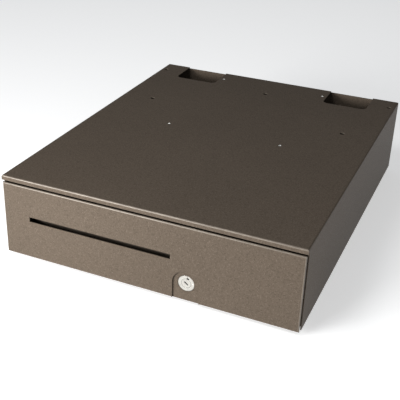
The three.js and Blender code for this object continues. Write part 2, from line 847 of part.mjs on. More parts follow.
function till() {
  const noteRear = tillRear - tillWall;
  const noteFront = noteRear - noteBayDepth;
  const outline = roundedBox(tillWidth, tillDepth, tillCorner, [0, (tillFront + tillRear) / 2]);
  const noteFloor = tillBottom + tillFloor;
  let body = prism("z", outline, tillBottom, tillTop);
  for (let bay = 0; bay < bays; bay += 1) {
    const [left, right] = [bayCentre(bay) - bayWidth / 2, bayCentre(bay) + bayWidth / 2];
    const cup = coinCupOutline(tillFront + tillWall, noteFront - tillDivider);
    body = body
      .subtract(block([left, right], [noteFront, noteRear], [noteFloor, tillTop + past]))
      .subtract(prism("x", cup, left, right));
  }
  const holeHalf = axleHalf + contactGap;
  return body.subtract(rod("x", axleRadius + contactGap, -holeHalf, holeHalf, axle, 12));
}

// A note weight: a sleeve on the axle, an arm down to a flat pad on the bay's floor.
function noteWeight(bay) {
  const middle = bayCentre(bay);
  const { radius, length } = weightSleeve;
  const padBottom = tillBottom + tillFloor + contactGap;
  const padTop = padBottom + weightPad.thickness;
  const padRear = axle[0] - weightPad.back;
  const bore = axleRadius + contactGap;
  const arm = shapeOf([
    [axle[0] - 1.5, axle[1] - 3],
    [axle[0] + 1, axle[1] - 3],
    [padRear + 1, padBottom + 0.5],
    [padRear - 3, padBottom + 0.5],
    [padRear - 3, padTop],
    [padRear - 1, padTop],
  ]);
  return rod("x", radius, middle - length / 2, middle + length / 2, axle, 16)
    .add(prism("x", arm, middle - weightArmWidth / 2, middle + weightArmWidth / 2))
    .add(
      block(
        [middle - weightPad.width / 2, middle + weightPad.width / 2],
        [padRear - weightPad.length, padRear],
        [padBottom, padTop],
      ),
    )
    .subtract(rod("x", bore, middle - length, middle + length, axle, 12));
}

addPiece("till", till(), finish.blackPlastic);
addPiece("weight_axle", rod("x", axleRadius, -axleHalf, axleHalf, axle, 12), finish.zinc);
for (let bay = 0; bay < bays; bay += 1) {
  addPiece(`note_weight_${bay + 1}`, noteWeight(bay), finish.blackPlastic);
}

// ---- release: striker on the drawer, lever on the case
const bracketTop = caseSheet + contactGap + bracketSheet;
const leverTop = leverBottom + leverThickness;

function striker() {
  const face = panRear + contactGap;
  const tongueBottom = leverTop + leverThickness;
  const pinTop = tongueBottom + past;
  const [x, y, radius] = [strikerPinOffset, strikerPinRear, strikerPinRadius];
  const sheet = foldedSheet(
    [
      [y + 2 * radius, tongueBottom + bracketSheet],
      [face, tongueBottom + bracketSheet],
      [face, panBottom + strikerFootRise],
    ],
    bracketSheet,
    bracketSheet * 1.5,
  );
  return prism("x", sheet, x - strikerHalf, x + strikerHalf)
    .add(rod("z", radius, leverBottom - leverThickness - past, pinTop, [x, y], 12));
}

function latchBracket() {
  const foot = caseSheet + contactGap;
  const sheet = foldedSheet(
    [
      [bracketLeft, foot + bracketFlange],
      [bracketLeft, foot],
      [bracketRight, foot],
      [bracketRight, foot + bracketFlange],
    ],
    bracketSheet,
    bracketSheet * 1.5,
  );
  return prism("y", sheet, bracketFront, bracketRear);
}

function pivotPin() {
  const head = leverTop + pinHead.clearance;
  const top = head + pinHead.thickness;
  return rod("z", latchPinRadius, bracketTop + contactGap, top, latchPivot, 12).add(
    rod("z", latchPinRadius + pinHead.overhang, head, top, latchPivot, 16),
  );
}

// The lever about its pivot at the origin, as it stands when it holds the striker's pin.
function latchLever() {
  const hook = strikerPinDepth - latchPivotDepth - strikerPinRadius - 1;
  const arm = shapeOf([
    [-6, 0],
    [-5, tailArm + 3.5],
    [5, tailArm + 3.5],
    [7, 0],
    [8, hook + 14.5],
    [8, hook - 5.5],
    [-7, hook - 5.5],
    [-7, hook],
    [2.5, hook],
    [1, hook + 14.5],
  ]);
  const bore = latchPinRadius + contactGap;
  const [low, high] = [leverBottom - leverThickness, leverTop + leverThickness];
  return prism("z", arm, leverBottom, leverTop)
    .add(rod("z", leverBoss, low, high, [0, 0], 16))
    .subtract(rod("z", bore, low - past, high + past, [0, 0], 12))
    .subtract(rod("z", crossPinRadius + crossPinPlay, low, high, [0, tailArm], 12));
}

function latchSpring() {
  const bottom = bracketTop + contactGap;
  const top = leverBottom - leverThickness - contactGap;
  return rod("z", latchPinRadius + latchSpringWall, bottom, top, latchPivot, 16).subtract(
    rod("z", latchPinRadius + contactGap, bottom - past, top + past, latchPivot, 12),
  );
}

const released = THREE.MathUtils.degToRad(latchReleased);
const crossPin = [
  latchPivot[0] - tailArm * Math.sin(released),
  latchPivot[1] + tailArm * Math.cos(released),
];
const solenoidAxis = [crossPin[1], leverBottom + leverThickness / 2];

function solenoidFrame() {
  const [y, z] = solenoidAxis;
  const sheet = foldedSheet(
    [
      [solenoidLeft, z + solenoidHalf],
      [solenoidLeft, z - solenoidHalf],
      [solenoidRight, z - solenoidHalf],
      [solenoidRight, z + solenoidHalf],
    ],
    bracketSheet,
    bracketSheet * 1.5,
  );
  const foot = block(
    [solenoidLeft + 2 * bracketSheet, solenoidRight - 2 * bracketSheet],
    [y - solenoidHalf, y + solenoidHalf],
    [bracketTop + contactGap, z - solenoidHalf + bracketSheet / 2],
  );
  return prism("y", sheet, y - solenoidHalf, y + solenoidHalf)
    .add(foot)
    .subtract(
      rod("x", plungerRadius + contactGap, solenoidLeft - past, solenoidRight + past, solenoidAxis, 16),
    );
}

function solenoidCoil() {
  const inset = bracketSheet + contactGap;
  return rod("x", coilRadius, solenoidLeft + inset, solenoidRight - inset, solenoidAxis, 20).subtract(
    rod("x", plungerRadius + contactGap, solenoidLeft, solenoidRight, solenoidAxis, 16),
  );
}

// The plunger ends in a fork round the lever's tail, with a cross pin through the tail's hole.
function solenoidPlunger() {
  const [y] = solenoidAxis;
  const { length, half, cheekFront, cheekGap, cheekThickness } = plungerFork;
  const webStart = crossPin[0] - length;
  const webEnd = crossPin[0] + cheekThickness;
  const cheek = (low) =>
    block([webStart, webEnd], [y - cheekFront, y + half], [low, low + cheekThickness]);
  const low = leverBottom - cheekGap - cheekThickness;
  const high = leverTop + cheekGap + cheekThickness;
  return rod("x", plungerRadius, solenoidLeft + plungerInset, webStart + past, solenoidAxis, 16)
    .add(block([webStart, webStart + cheekThickness], [y - half, y + half], [low, high]))
    .add(cheek(low))
    .add(cheek(leverTop + cheekGap))
    .add(rod("z", crossPinRadius, low + past, high - past, crossPin, 10));
}

addPiece("striker", striker(), finish.zinc);
addPiece("latch_bracket", latchBracket(), finish.zinc);
addPiece("latch_pivot_pin", pivotPin(), finish.zinc);
const leverGroup = new THREE.Group();
leverGroup.position.set(latchPivot[0], latchPivot[1], 0);
leverGroup.rotation.z = released;
drawerUnit.add(leverGroup);
addPiece("latch_lever", latchLever(), finish.zinc, leverGroup);
addPiece("latch_spring", latchSpring(), finish.zinc);
addPiece("solenoid_frame", solenoidFrame(), finish.zinc);
addPiece("solenoid_coil", solenoidCoil(), finish.copper);
addPiece("solenoid_plunger", solenoidPlunger(), finish.zinc);

// ---- ejector, switch and interface
const ejectorAxis = [ejectorOffset, ejectorHeight];

function ejectorHousing() {
  const foot = caseSheet + contactGap;
  const { half, postHalf, inset, thickness } = ejectorFoot;
  const along = [ejectorFront + inset, ejectorRear - inset];
  const boreFront = ejectorFront + ejectorWall;
  return rod("y", ejectorRadius, ejectorFront, ejectorRear, ejectorAxis, 20)
    .add(
      block(
        [ejectorOffset - postHalf, ejectorOffset + postHalf],
        along,
        [foot, ejectorHeight - ejectorRadius + past],
      ),
    )
    .add(block([ejectorOffset - half, ejectorOffset + half], along, [foot, foot + thickness]))
    .subtract(rod("y", ejectorBore, boreFront, ejectorRear + past, ejectorAxis, 20))
    .subtract(rod("y", ejectorRod + contactGap, ejectorFront - past, boreFront + past, ejectorAxis, 16));
}

const pistonFront = ejectorFront + ejectorWall + ejectorTravel + pistonPlay;
const pistonRear = pistonFront + pistonLength;

function ejectorPlunger() {
  const tip = panRear + contactGap;
  return rod("y", ejectorCap.radius, tip, tip + ejectorCap.thickness, ejectorAxis, 16)
    .add(rod("y", ejectorRod, tip + past, pistonFront + past, ejectorAxis, 16))
    .add(rod("y", ejectorBore - contactGap, pistonFront, pistonRear, ejectorAxis, 16));
}

// The compressed spring behind the piston, as a plain sleeve.
function ejectorSpring() {
  const front = pistonRear + contactGap;
  const outside = ejectorBore - contactGap;
  return rod("y", outside, front, ejectorRear - past, ejectorAxis, 16).subtract(
    rod("y", outside - ejectorSpringWall, front - past, ejectorRear, ejectorAxis, 12),
  );
}

const switchFront = panRear + switchDepth;
const switchPivot = [switchOffset + leafPivotOffset, switchFront - past];
const leafLow = caseSheet + contactGap + leafRise;

function switchBody() {
  const foot = caseSheet + contactGap;
  const { half, depth, height, windowHalf } = switchCase;
  const top = foot + height;
  return block([switchOffset - half, switchOffset + half], [switchFront, switchFront + depth], [foot, top])
    .subtract(
      block(
        [switchPivot[0] - windowHalf, switchPivot[0] + windowHalf],
        [switchFront - past, switchFront + depth - switchWall],
        [leafLow - switchPlay, top + past],
      ),
    );
}

// A spring-steel leaf in front of the switch, hinged at its right end.
function switchLever() {
  const [x, y] = switchPivot;
  const rollerX = switchOffset - leafReach;
  const height = [leafLow, leafLow + leafHeight];
  const leafMiddle = y - leafSheet / 2;
  const rollerRadius = (leafMiddle - panRear - contactGap) / 2;
  return block([rollerX, x + leafTab], [y - leafSheet, y], height)
    .add(block([x - leafTab, x + leafTab], [leafMiddle, y + leafHeight], height))
    .add(rod("z", rollerRadius, ...height, [rollerX, leafMiddle - rollerRadius], 12));
}

function interfaceBoard() {
  const foot = caseSheet + contactGap;
  const [left, right] = [jackOffset - boardHalf, jackOffset + boardHalf];
  const rear = caseDepth - boardSetForward;
  const front = rear - boardLength;
  let body = block([left, right], [front, rear], [boardHeight, boardHeight + boardSheet]);
  [left + standoffInset, right - standoffInset].forEach((x) =>
    [front + standoffInset, rear - standoffInset].forEach((y) => {
      body = body.add(rod("z", standoffRadius, foot, boardHeight + boardSheet / 2, [x, y], 10));
    }),
  );
  return body;
}

function interfaceJack() {
  const low = boardHeight + boardSheet + contactGap;
  const [left, right] = [jackOffset - jackWidth / 2, jackOffset + jackWidth / 2];
  const top = low + jackHeight;
  return block([left, right], [caseDepth - jackLength, caseDepth], [low, top]).subtract(
    block(
      [left + jackWall, right - jackWall],
      [caseDepth - jackSocketDepth, caseDepth + past],
      [low + jackWall, top - jackWall],
    ),
  );
}

addPiece("ejector_housing", ejectorHousing(), finish.blackPlastic);
addPiece("ejector_plunger", ejectorPlunger(), finish.whitePlastic);
addPiece("ejector_spring", ejectorSpring(), finish.zinc);
addPiece("switch_body", switchBody(), finish.blackPlastic);
addPiece("switch_lever", switchLever(), finish.zinc);
addPiece("interface_board", interfaceBoard(), finish.board);
addPiece("interface_jack", interfaceJack(), finish.blackPlastic);

export default drawerUnit;
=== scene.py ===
import json
import math

import bmesh
import bpy
import numpy as np
from mathutils import Matrix, Vector


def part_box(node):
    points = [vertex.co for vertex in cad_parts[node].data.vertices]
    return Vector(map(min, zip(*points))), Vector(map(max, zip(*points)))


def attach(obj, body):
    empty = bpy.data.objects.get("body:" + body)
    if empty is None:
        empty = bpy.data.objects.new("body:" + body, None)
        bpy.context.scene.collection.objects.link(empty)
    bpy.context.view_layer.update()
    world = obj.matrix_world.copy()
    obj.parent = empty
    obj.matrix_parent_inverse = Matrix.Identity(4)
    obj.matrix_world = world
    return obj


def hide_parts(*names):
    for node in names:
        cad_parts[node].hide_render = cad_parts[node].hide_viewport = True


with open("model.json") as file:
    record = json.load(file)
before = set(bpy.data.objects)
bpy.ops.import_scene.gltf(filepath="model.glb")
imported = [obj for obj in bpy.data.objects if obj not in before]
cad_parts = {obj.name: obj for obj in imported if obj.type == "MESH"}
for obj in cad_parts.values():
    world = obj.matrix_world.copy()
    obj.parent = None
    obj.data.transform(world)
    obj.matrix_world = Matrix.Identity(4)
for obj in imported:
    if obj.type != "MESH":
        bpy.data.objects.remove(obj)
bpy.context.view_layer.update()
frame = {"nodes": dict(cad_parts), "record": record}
nodes = frame["nodes"]
record = frame["record"]
bodies = record["behaviour"]["bodies"]
slotOf = {part["node"]: part["material_slot"] for part in record["subparts"]}
bodyOf = {node: body for body, members in bodies.items() for node in members}
mm = 0.001


def says(stage):
    print("cash drawer:", stage)


# the camera stands in front, to the right and above, a little rolled; angles are in degrees
camera = {
    "place": (381.7 * mm, -1012.35 * mm, 585.1 * mm),
    "azimuth": 24.05,
    "elevation": 27.04,
    "roll": 1.45,
    "lens": 72.73,
    "sensor": 36.0,
    "shift": (0.0578, -0.0353),
    "nearest": 50 * mm,
}


def makeCamera():
    data = bpy.data.cameras.new("camera")
    data.sensor_width = camera["sensor"]
    data.lens = camera["lens"]
    data.shift_x, data.shift_y = camera["shift"]
    data.clip_start = camera["nearest"]
    azimuth, elevation, roll = (math.radians(camera[k]) for k in ("azimuth", "elevation", "roll"))
    level = math.cos(elevation)
    back = Vector((math.sin(azimuth) * level, -math.cos(azimuth) * level, math.sin(elevation)))
    right = Vector((0, 0, 1)).cross(back).normalized()
    up = back.cross(right)
    turnedRight = right * math.cos(roll) + up * math.sin(roll)
    turnedUp = up * math.cos(roll) - right * math.sin(roll)
    turn = Matrix((turnedRight, turnedUp, back)).transposed().to_4x4()
    view = bpy.data.objects.new("camera", data)
    view.matrix_world = Matrix.Translation(camera["place"]) @ turn
    bpy.context.scene.collection.objects.link(view)
    bpy.context.scene.camera = view


makeCamera()
says("camera placed")


# a shader socket that turns Python arithmetic into Math nodes
class Term:
    def __init__(self, shader, socket):
        self.shader = shader
        self.socket = socket

    def math(self, operation, first, second=0.0):
        settings = {"operation": operation}
        return self.shader.node("ShaderNodeMath", settings, {0: first, 1: second})

    def __add__(self, other):
        return self.math("ADD", self, other)

    def __mul__(self, other):
        return self.math("MULTIPLY", self, other)

    def __sub__(self, other):
        return self.math("SUBTRACT", self, other)

    def __rsub__(self, other):
        return self.math("SUBTRACT", other, self)

    __radd__ = __add__
    __rmul__ = __mul__

    # a sine between 0 and 1 that repeats once in each pitch
    def wave(self, pitch):
        return self.math("SINE", self * (math.tau / pitch)) * 0.5 + 0.5

    # 0 below the edge, 1 above it, smooth over the width on either side
    def above(self, edge, width):
        reach = {"Value": self, "From Min": edge - width, "From Max": edge + width}
        return self.shader.node("ShaderNodeMapRange", {"interpolation_type": "SMOOTHSTEP"}, reach)


class Shader:
    def __init__(self, name, **constants):
        self.material = bpy.data.materials.new(name)
        self.material.use_nodes = True
        self.tree = self.material.node_tree
        self.surface = self.tree.nodes["Principled BSDF"]
        self.into(**constants)

    # any node: its type, its settings, the values or links of its sockets
    def node(self, kind, settings=None, inputs=None, output=0):
        made = self.tree.nodes.new(kind)
        for key, value in (settings or {}).items():
            setattr(made, key, value)
        for key, value in (inputs or {}).items():
            self.feed(made.inputs[key], value)
        return Term(self, made.outputs[output])

    def feed(self, socket, value):
        if isinstance(value, Term):
            self.tree.links.new(value.socket, socket)
        elif socket.type == "RGBA":
            socket.default_value = (*value[:3], 1)
        else:
            socket.default_value = value

    # values or links for the surface's own sockets, with _ for each space in a socket's name
    def into(self, **links):
        for key, value in links.items():
            self.feed(self.surface.inputs[key.replace("_", " ")], value)
        return self.material

    def place(self):
        return self.node("ShaderNodeTexCoord", output="Object")

    def vector(self, operation, first, second):
        settings = {"operation": operation}
        return self.node("ShaderNodeVectorMath", settings, {0: first, 1: second})

    def moved(self, shift=(0, 0, 0), stretch=(1, 1, 1)):
        return self.vector("MULTIPLY", self.vector("SUBTRACT", self.place(), shift), stretch)

    def distance(self, vector):
        return self.node("ShaderNodeVectorMath", {"operation": "LENGTH"}, {0: vector}, "Value")

    # every scale is in cells a metre, or 1 where the vector is stretched already
    def noise(self, scale, detail=2.0, roughness=0.5, vector=None):
        inputs = {"Vector": vector or self.place(), "Scale": scale,
                  "Detail": detail, "Roughness": roughness}
        return self.node("ShaderNodeTexNoise", {}, inputs)

    # distance to the nearest of the cells' middles, in cells
    def cells(self, scale):
        return self.node("ShaderNodeTexVoronoi", {}, {"Vector": self.place(), "Scale": scale})

    def mix(self, factor, first, second):
        inputs = {0: factor, 6: first, 7: second}
        return self.node("ShaderNodeMix", {"data_type": "RGBA"}, inputs, output=2)

    def bump(self, height, distance, strength):
        inputs = {"Height": height, "Distance": distance, "Strength": strength}
        return self.node("ShaderNodeBump", {}, inputs)


def scaled(colour, factor):
    return tuple(part * factor for part in colour)


# a roughness that swings about its mean as the noise goes from 0 to 1
def uneven(noise, look):
    return noise * look["swing"] + (look["roughness"] - look["swing"] / 2)


# powder coat: a fine orange peel, pale metal flecks and dark pits about two millimetres apart
powder = {
    "colour": (0.106, 0.083, 0.063),
    "specular": 0.03,
    "cloudScale": 7.0,  # a slow change of tone
    "cloudTone": 0.92,
    "peelScale": 620.0,
    "peelHeight": 0.04 * mm,
    "grainScale": 640.0,
    "fleck": (0.235, 0.190, 0.150),
    "fleckShare": 0.28,
    "fleckRise": 0.35,
    "fleckGloss": 0.06,
    "pit": (0.048, 0.037, 0.028),
    "pitScale": 512.0,
    "pitShift": (0.4, 0.1, 0.7),  # takes the pits off the flecks
    "pitShare": 0.40,
    "pitDrop": 0.3,
    "roughness": 0.40,
    "swing": 0.14,
}


def powderCoat():
    coat = Shader("powderCoat", IOR=1.5, Specular_IOR_Level=powder["specular"])
    peel = coat.noise(powder["peelScale"], detail=3.0, roughness=0.62)
    grain = coat.noise(powder["grainScale"], detail=2.0, roughness=0.7)
    flecks = grain.above(edge=0.60, width=0.07)
    pitNoise = coat.noise(powder["pitScale"], detail=2.0, roughness=0.6,
                          vector=coat.moved(powder["pitShift"]))
    pits = pitNoise.above(edge=0.58, width=0.08)
    cloud = coat.noise(powder["cloudScale"], detail=3.0).above(edge=0.5, width=0.3)
    base = coat.mix(cloud, powder["colour"], scaled(powder["colour"], powder["cloudTone"]))
    base = coat.mix(pits * powder["pitShare"], base, powder["pit"])
    base = coat.mix(flecks * powder["fleckShare"], base, powder["fleck"])
    relief = peel + flecks * powder["fleckRise"] - pits * powder["pitDrop"]
    return coat.into(
        Base_Color=base,
        Roughness=uneven(peel, powder) - flecks * powder["fleckGloss"],
        Normal=coat.bump(relief, powder["peelHeight"], strength=0.7),
    )


# powder with a painted highlight: a lighter colour and a stronger sheen for the folds that face the
# user, patchy across them
foldHighlight = {
    "colour": (0.190, 0.160, 0.128),
    "metallic": 0.2,
    "specular": 0.5,
    "highlightPatchScale": 60.0,
    "leastHighlight": 0.35,
    "highlightShare": 0.5,
    "fleckShare": 0.3,
    "grainHeight": 0.02 * mm,
    "roughness": 0.36,
    "swing": 0.16,
}


def paintedHighlightPowder():
    coat = Shader("paintedHighlightPowder", IOR=1.5, Specular_IOR_Level=foldHighlight["specular"],
                  Metallic=foldHighlight["metallic"])
    grain = coat.noise(powder["grainScale"], detail=2.0, roughness=0.7)
    flecks = grain.above(edge=0.58, width=0.08)
    highlightPatches = coat.noise(foldHighlight["highlightPatchScale"], detail=4.0, roughness=0.65).above(edge=0.5, width=0.2)
    # the share of the painted highlight's lighter colour, patchy across the fold
    highlightShare = highlightPatches * foldHighlight["highlightShare"] + foldHighlight["leastHighlight"]
    base = coat.mix(highlightShare, powder["colour"], foldHighlight["colour"])
    base = coat.mix(flecks * foldHighlight["fleckShare"], base, powder["fleck"])
    return coat.into(
        Base_Color=base,
        Roughness=uneven(grain, foldHighlight),
        Normal=coat.bump(grain, foldHighlight["grainHeight"], strength=0.5),
    )


# zinc plate: rolling marks along Y, pale and straw patches, a few dark scuffs
zinc = {
    "colour": (0.62, 0.63, 0.64),
    "rolling": (1500.0, 45.0, 1500.0),  # marks a metre along X, Y and Z
    "rollingTone": 0.7,
    "rollingShare": 0.5,
    "rollingHeight": 0.03 * mm,
    "straw": (0.60, 0.57, 0.47),
    "strawScale": 55.0,
    "strawShare": 0.35,
    "strawRoughness": 0.08,
    "scuffs": (90.0, 420.0, 260.0),
    "scuffTone": 0.45,
    "scuffShare": 0.4,
    "roughness": 0.30,
    "swing": 0.18,
}


def zincPlate():
    steel = Shader("zincPlate", Metallic=1.0)
    rolled = steel.moved(stretch=zinc["rolling"])
    scuffed = steel.moved(stretch=zinc["scuffs"])
    lines = steel.noise(1.0, detail=3.0, roughness=0.6, vector=rolled)
    patches = steel.noise(zinc["strawScale"], detail=2.0)
    straw = patches.above(edge=0.55, width=0.12)
    scuffNoise = steel.noise(1.0, detail=4.0, roughness=0.7, vector=scuffed)
    scuffs = scuffNoise.above(edge=0.66, width=0.04)
    base = steel.mix(lines * zinc["rollingShare"], zinc["colour"],
                     scaled(zinc["colour"], zinc["rollingTone"]))
    base = steel.mix(straw * zinc["strawShare"], base, zinc["straw"])
    base = steel.mix(scuffs * zinc["scuffShare"], base, scaled(zinc["colour"], zinc["scuffTone"]))
    return steel.into(
        Base_Color=base,
        Roughness=uneven(lines, zinc) + patches * zinc["strawRoughness"],
        Normal=steel.bump(lines, zinc["rollingHeight"], strength=0.5),
    )


# bright nickel on the lock: rings left by the lathe about the lock's axis, and rubbed streaks
nickel = {
    "colour": (0.62, 0.605, 0.56),
    "ringPitch": 0.32 * mm,
    "ringShare": 0.4,
    "rubScale": 420.0,
    "rubTone": 0.80,
    "rubShare": 0.3,
    "tarnishScale": 180.0,
    "tarnishTone": 0.60,
    "tarnishShare": 0.35,
    "reliefHeight": 0.02 * mm,
    "roughness": 0.22,
    "swing": 0.2,
}


def brightNickel():
    metal = Shader("brightNickel", Metallic=1.0)
    low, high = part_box("lock_body")
    middle = (low + high) / 2
    fromAxis = metal.distance(metal.moved((middle.x, 0, middle.z), (1, 0, 1)))
    rings = fromAxis.wave(nickel["ringPitch"])
    rub = metal.noise(nickel["rubScale"], detail=4.0, roughness=0.7)
    tarnish = metal.noise(nickel["tarnishScale"], detail=3.0).above(edge=0.62, width=0.1)
    base = metal.mix(rub * nickel["rubShare"], nickel["colour"],
                     scaled(nickel["colour"], nickel["rubTone"]))
    base = metal.mix(tarnish * nickel["tarnishShare"], base,
                     scaled(nickel["colour"], nickel["tarnishTone"]))
    relief = rings * nickel["ringShare"] + rub * (1 - nickel["ringShare"])
    return metal.into(
        Base_Color=base,
        Roughness=uneven(rub, nickel),
        Normal=metal.bump(relief, nickel["reliefHeight"], strength=0.4),
    )


# moulded plastic and rubber: a spark-eroded grain, a faint haze and fine scratches
moulding = {
    "hazeScale": 22.0,
    "hazeShare": 0.4,
    "hazeTone": 1.25,
    "hazeLift": 0.003,
    "grainTone": 0.7,
    "grainShare": 0.3,
    "scratches": (70.0, 900.0, 500.0),
    "scratchTone": 1.5,
    "scratchLift": 0.015,
    "scratchRoughness": 0.1,
}
mouldings = {
    "blackAbs": {"colour": (0.018, 0.018, 0.019), "grainScale": 1600.0, "grainHeight": 0.06 * mm,
                 "scratchShare": 0.3, "roughness": 0.44, "swing": 0.2},
    "naturalNylon": {"colour": (0.70, 0.68, 0.61), "grainScale": 700.0, "grainHeight": 0.03 * mm,
                     "scratchShare": 0.1, "roughness": 0.40, "swing": 0.2},
    "blackRubber": {"colour": (0.014, 0.014, 0.014), "grainScale": 2300.0, "grainHeight": 0.09 * mm,
                    "scratchShare": 0.15, "roughness": 0.73, "swing": 0.2},
}


def moulded(name):
    look = mouldings[name]
    colour = look["colour"]
    hazy = tuple(part * moulding["hazeTone"] + moulding["hazeLift"] for part in colour)
    scratched = tuple(part * moulding["scratchTone"] + moulding["scratchLift"] for part in colour)
    plastic = Shader(name, IOR=1.5)
    grain = plastic.noise(look["grainScale"], detail=2.0, roughness=0.6)
    haze = plastic.noise(moulding["hazeScale"], detail=3.0)
    scratchNoise = plastic.noise(1.0, detail=3.0, roughness=0.6,
                                 vector=plastic.moved(stretch=moulding["scratches"]))
    scratches = scratchNoise.above(edge=0.64, width=0.03)
    dots = grain.above(edge=0.58, width=0.1)
    base = plastic.mix(haze * moulding["hazeShare"], colour, hazy)
    base = plastic.mix(dots * moulding["grainShare"], base, scaled(colour, moulding["grainTone"]))
    base = plastic.mix(scratches * look["scratchShare"], base, scratched)
    return plastic.into(
        Base_Color=base,
        Roughness=uneven(grain, look) + scratches * moulding["scratchRoughness"],
        Normal=plastic.bump(grain, look["grainHeight"], strength=0.6),
    )


# enamelled copper: along X, once in each wire's width, a painted highlight on the ridge and painted
# shade in the groove
wire = {
    "thickness": 0.55 * mm,
    "colour": (0.70, 0.27, 0.10),
    "grooveShade": (0.16, 0.05, 0.02),
    "metallic": 0.9,
    "stainScale": 300.0,
    "stainTone": 0.6,
    "stainShare": 0.3,
    "roughness": 0.42,
    "ridgeGloss": 0.14,
    "ridgeHeight": 0.1 * mm,
}


def copperWire():
    copper = Shader("copperWire", Metallic=wire["metallic"])
    along = copper.node("ShaderNodeSeparateXYZ", {}, {0: copper.place()})
    ridge = along.wave(wire["thickness"])
    stain = copper.noise(wire["stainScale"], detail=3.0).above(edge=0.6, width=0.1)
    # the colour runs from the painted shade in the groove to the painted highlight on the ridge
    base = copper.mix(ridge, wire["grooveShade"], wire["colour"])
    base = copper.mix(stain * wire["stainShare"], base, scaled(wire["colour"], wire["stainTone"]))
    return copper.into(
        Base_Color=base,
        Roughness=wire["roughness"] - ridge * wire["ridgeGloss"],
        Normal=copper.bump(ridge, wire["ridgeHeight"], strength=0.6),
    )


# green solder mask: copper tracks show through as paler lines, broken here and there, and
# solder as grey specks
solder = {
    "mask": (0.010, 0.085, 0.030),
    "track": (0.022, 0.150, 0.055),
    "tracks": (1400.0, 60.0, 1.0),
    "breakScale": 160.0,
    "trackGloss": 0.12,
    "trackHeight": 0.04 * mm,
    "speck": (0.30, 0.31, 0.27),
    "speckScale": 900.0,
    "speckShare": 0.4,
    "roughness": 0.42,
}


def solderMask():
    board = Shader("solderMask", IOR=1.5)
    across = board.noise(1.0, detail=0.0, vector=board.moved(stretch=solder["tracks"]))
    whole = board.noise(solder["breakScale"], detail=0.0).above(edge=0.45, width=0.03)
    tracks = across.above(edge=0.56, width=0.03) * whole
    specks = (1 - board.cells(solder["speckScale"])).above(edge=0.85, width=0.05)
    base = board.mix(tracks, solder["mask"], solder["track"])
    base = board.mix(specks * solder["speckShare"], base, solder["speck"])
    return board.into(
        Base_Color=base,
        Roughness=solder["roughness"] - tracks * solder["trackGloss"],
        Normal=board.bump(tracks, solder["trackHeight"], strength=0.6),
    )


# small bare metal pieces: a bright colour that a fine haze dulls
bareMetals = {
    "goldPlate": {"colour": (0.92, 0.68, 0.30), "dull": (0.75, 0.52, 0.20), "metallic": 1.0,
                  "hazeScale": 800.0, "hazeDetail": 2.0, "roughness": 0.25, "swing": 0.2},
    # the inserts: pale zinc, its colour lifted to near white as a painted glint
    "zincInsertWithGlint": {"colour": (0.97, 0.96, 0.92), "dull": (0.80, 0.79, 0.75), "metallic": 0.6,
                     "hazeScale": 900.0, "hazeDetail": 3.0, "roughness": 0.4, "swing": 0.2},
    "ballSteel": {"colour": (0.80, 0.80, 0.80), "dull": (0.62, 0.61, 0.58), "metallic": 1.0,
                  "hazeScale": 500.0, "hazeDetail": 2.0, "roughness": 0.14, "swing": 0.12},
}


def bareMetal(name):
    look = bareMetals[name]
    metal = Shader(name, Metallic=look["metallic"])
    haze = metal.noise(look["hazeScale"], detail=look["hazeDetail"])
    return metal.into(Base_Color=metal.mix(haze, look["colour"], look["dull"]),
                      Roughness=uneven(haze, look))


finishes = {
    "powder_coat": powderCoat(),
    "zinc_steel": zincPlate(),
    "nickel": brightNickel(),
    "black_plastic": moulded("blackAbs"),
    "white_nylon": moulded("naturalNylon"),
    "rubber": moulded("blackRubber"),
    "copper_coil": copperWire(),
    "circuit_board": solderMask(),
}
extras = {name: bareMetal(name) for name in bareMetals}
# the powder with the painted highlight, for the folds that face the user
extras["paintedHighlightPowder"] = paintedHighlightPowder()
for name, piece in nodes.items():
    piece.data.materials.clear()
    piece.data.materials.append(finishes[slotOf[name]])
says("finishes made")


# how far the edges of a sub-part are broken, by its finish
brokenEdges = {
    "powder_coat": 0.22 * mm,  # a coat of powder rounds the sheet's edges
    "zinc_steel": 0.12 * mm,
    "nickel": 0.25 * mm,
    "black_plastic": 0.35 * mm,
    "white_nylon": 0.3 * mm,
    "circuit_board": 0.1 * mm,
}
shells = {
    "weld": 0.002 * mm,  # points nearer than this become one
    "flatAngle": 0.6,  # in degrees: faces that meet flatter than this are joined
    "cornerAngle": 44.0,  # edges sharper than this are broken
    "cornerSteps": 2,
    "foldFacing": (-0.985, -0.1),  # the Y of a normal on a fold that faces the user, which gets the painted highlight
    "softAngle": 38.0,  # on the new surfaces, edges flatter than this are shaded smooth
}


def rides(piece, body, slot, *replaced):
    bpy.context.scene.collection.objects.link(piece)
    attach(piece, body)
    if replaced:
        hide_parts(*replaced)


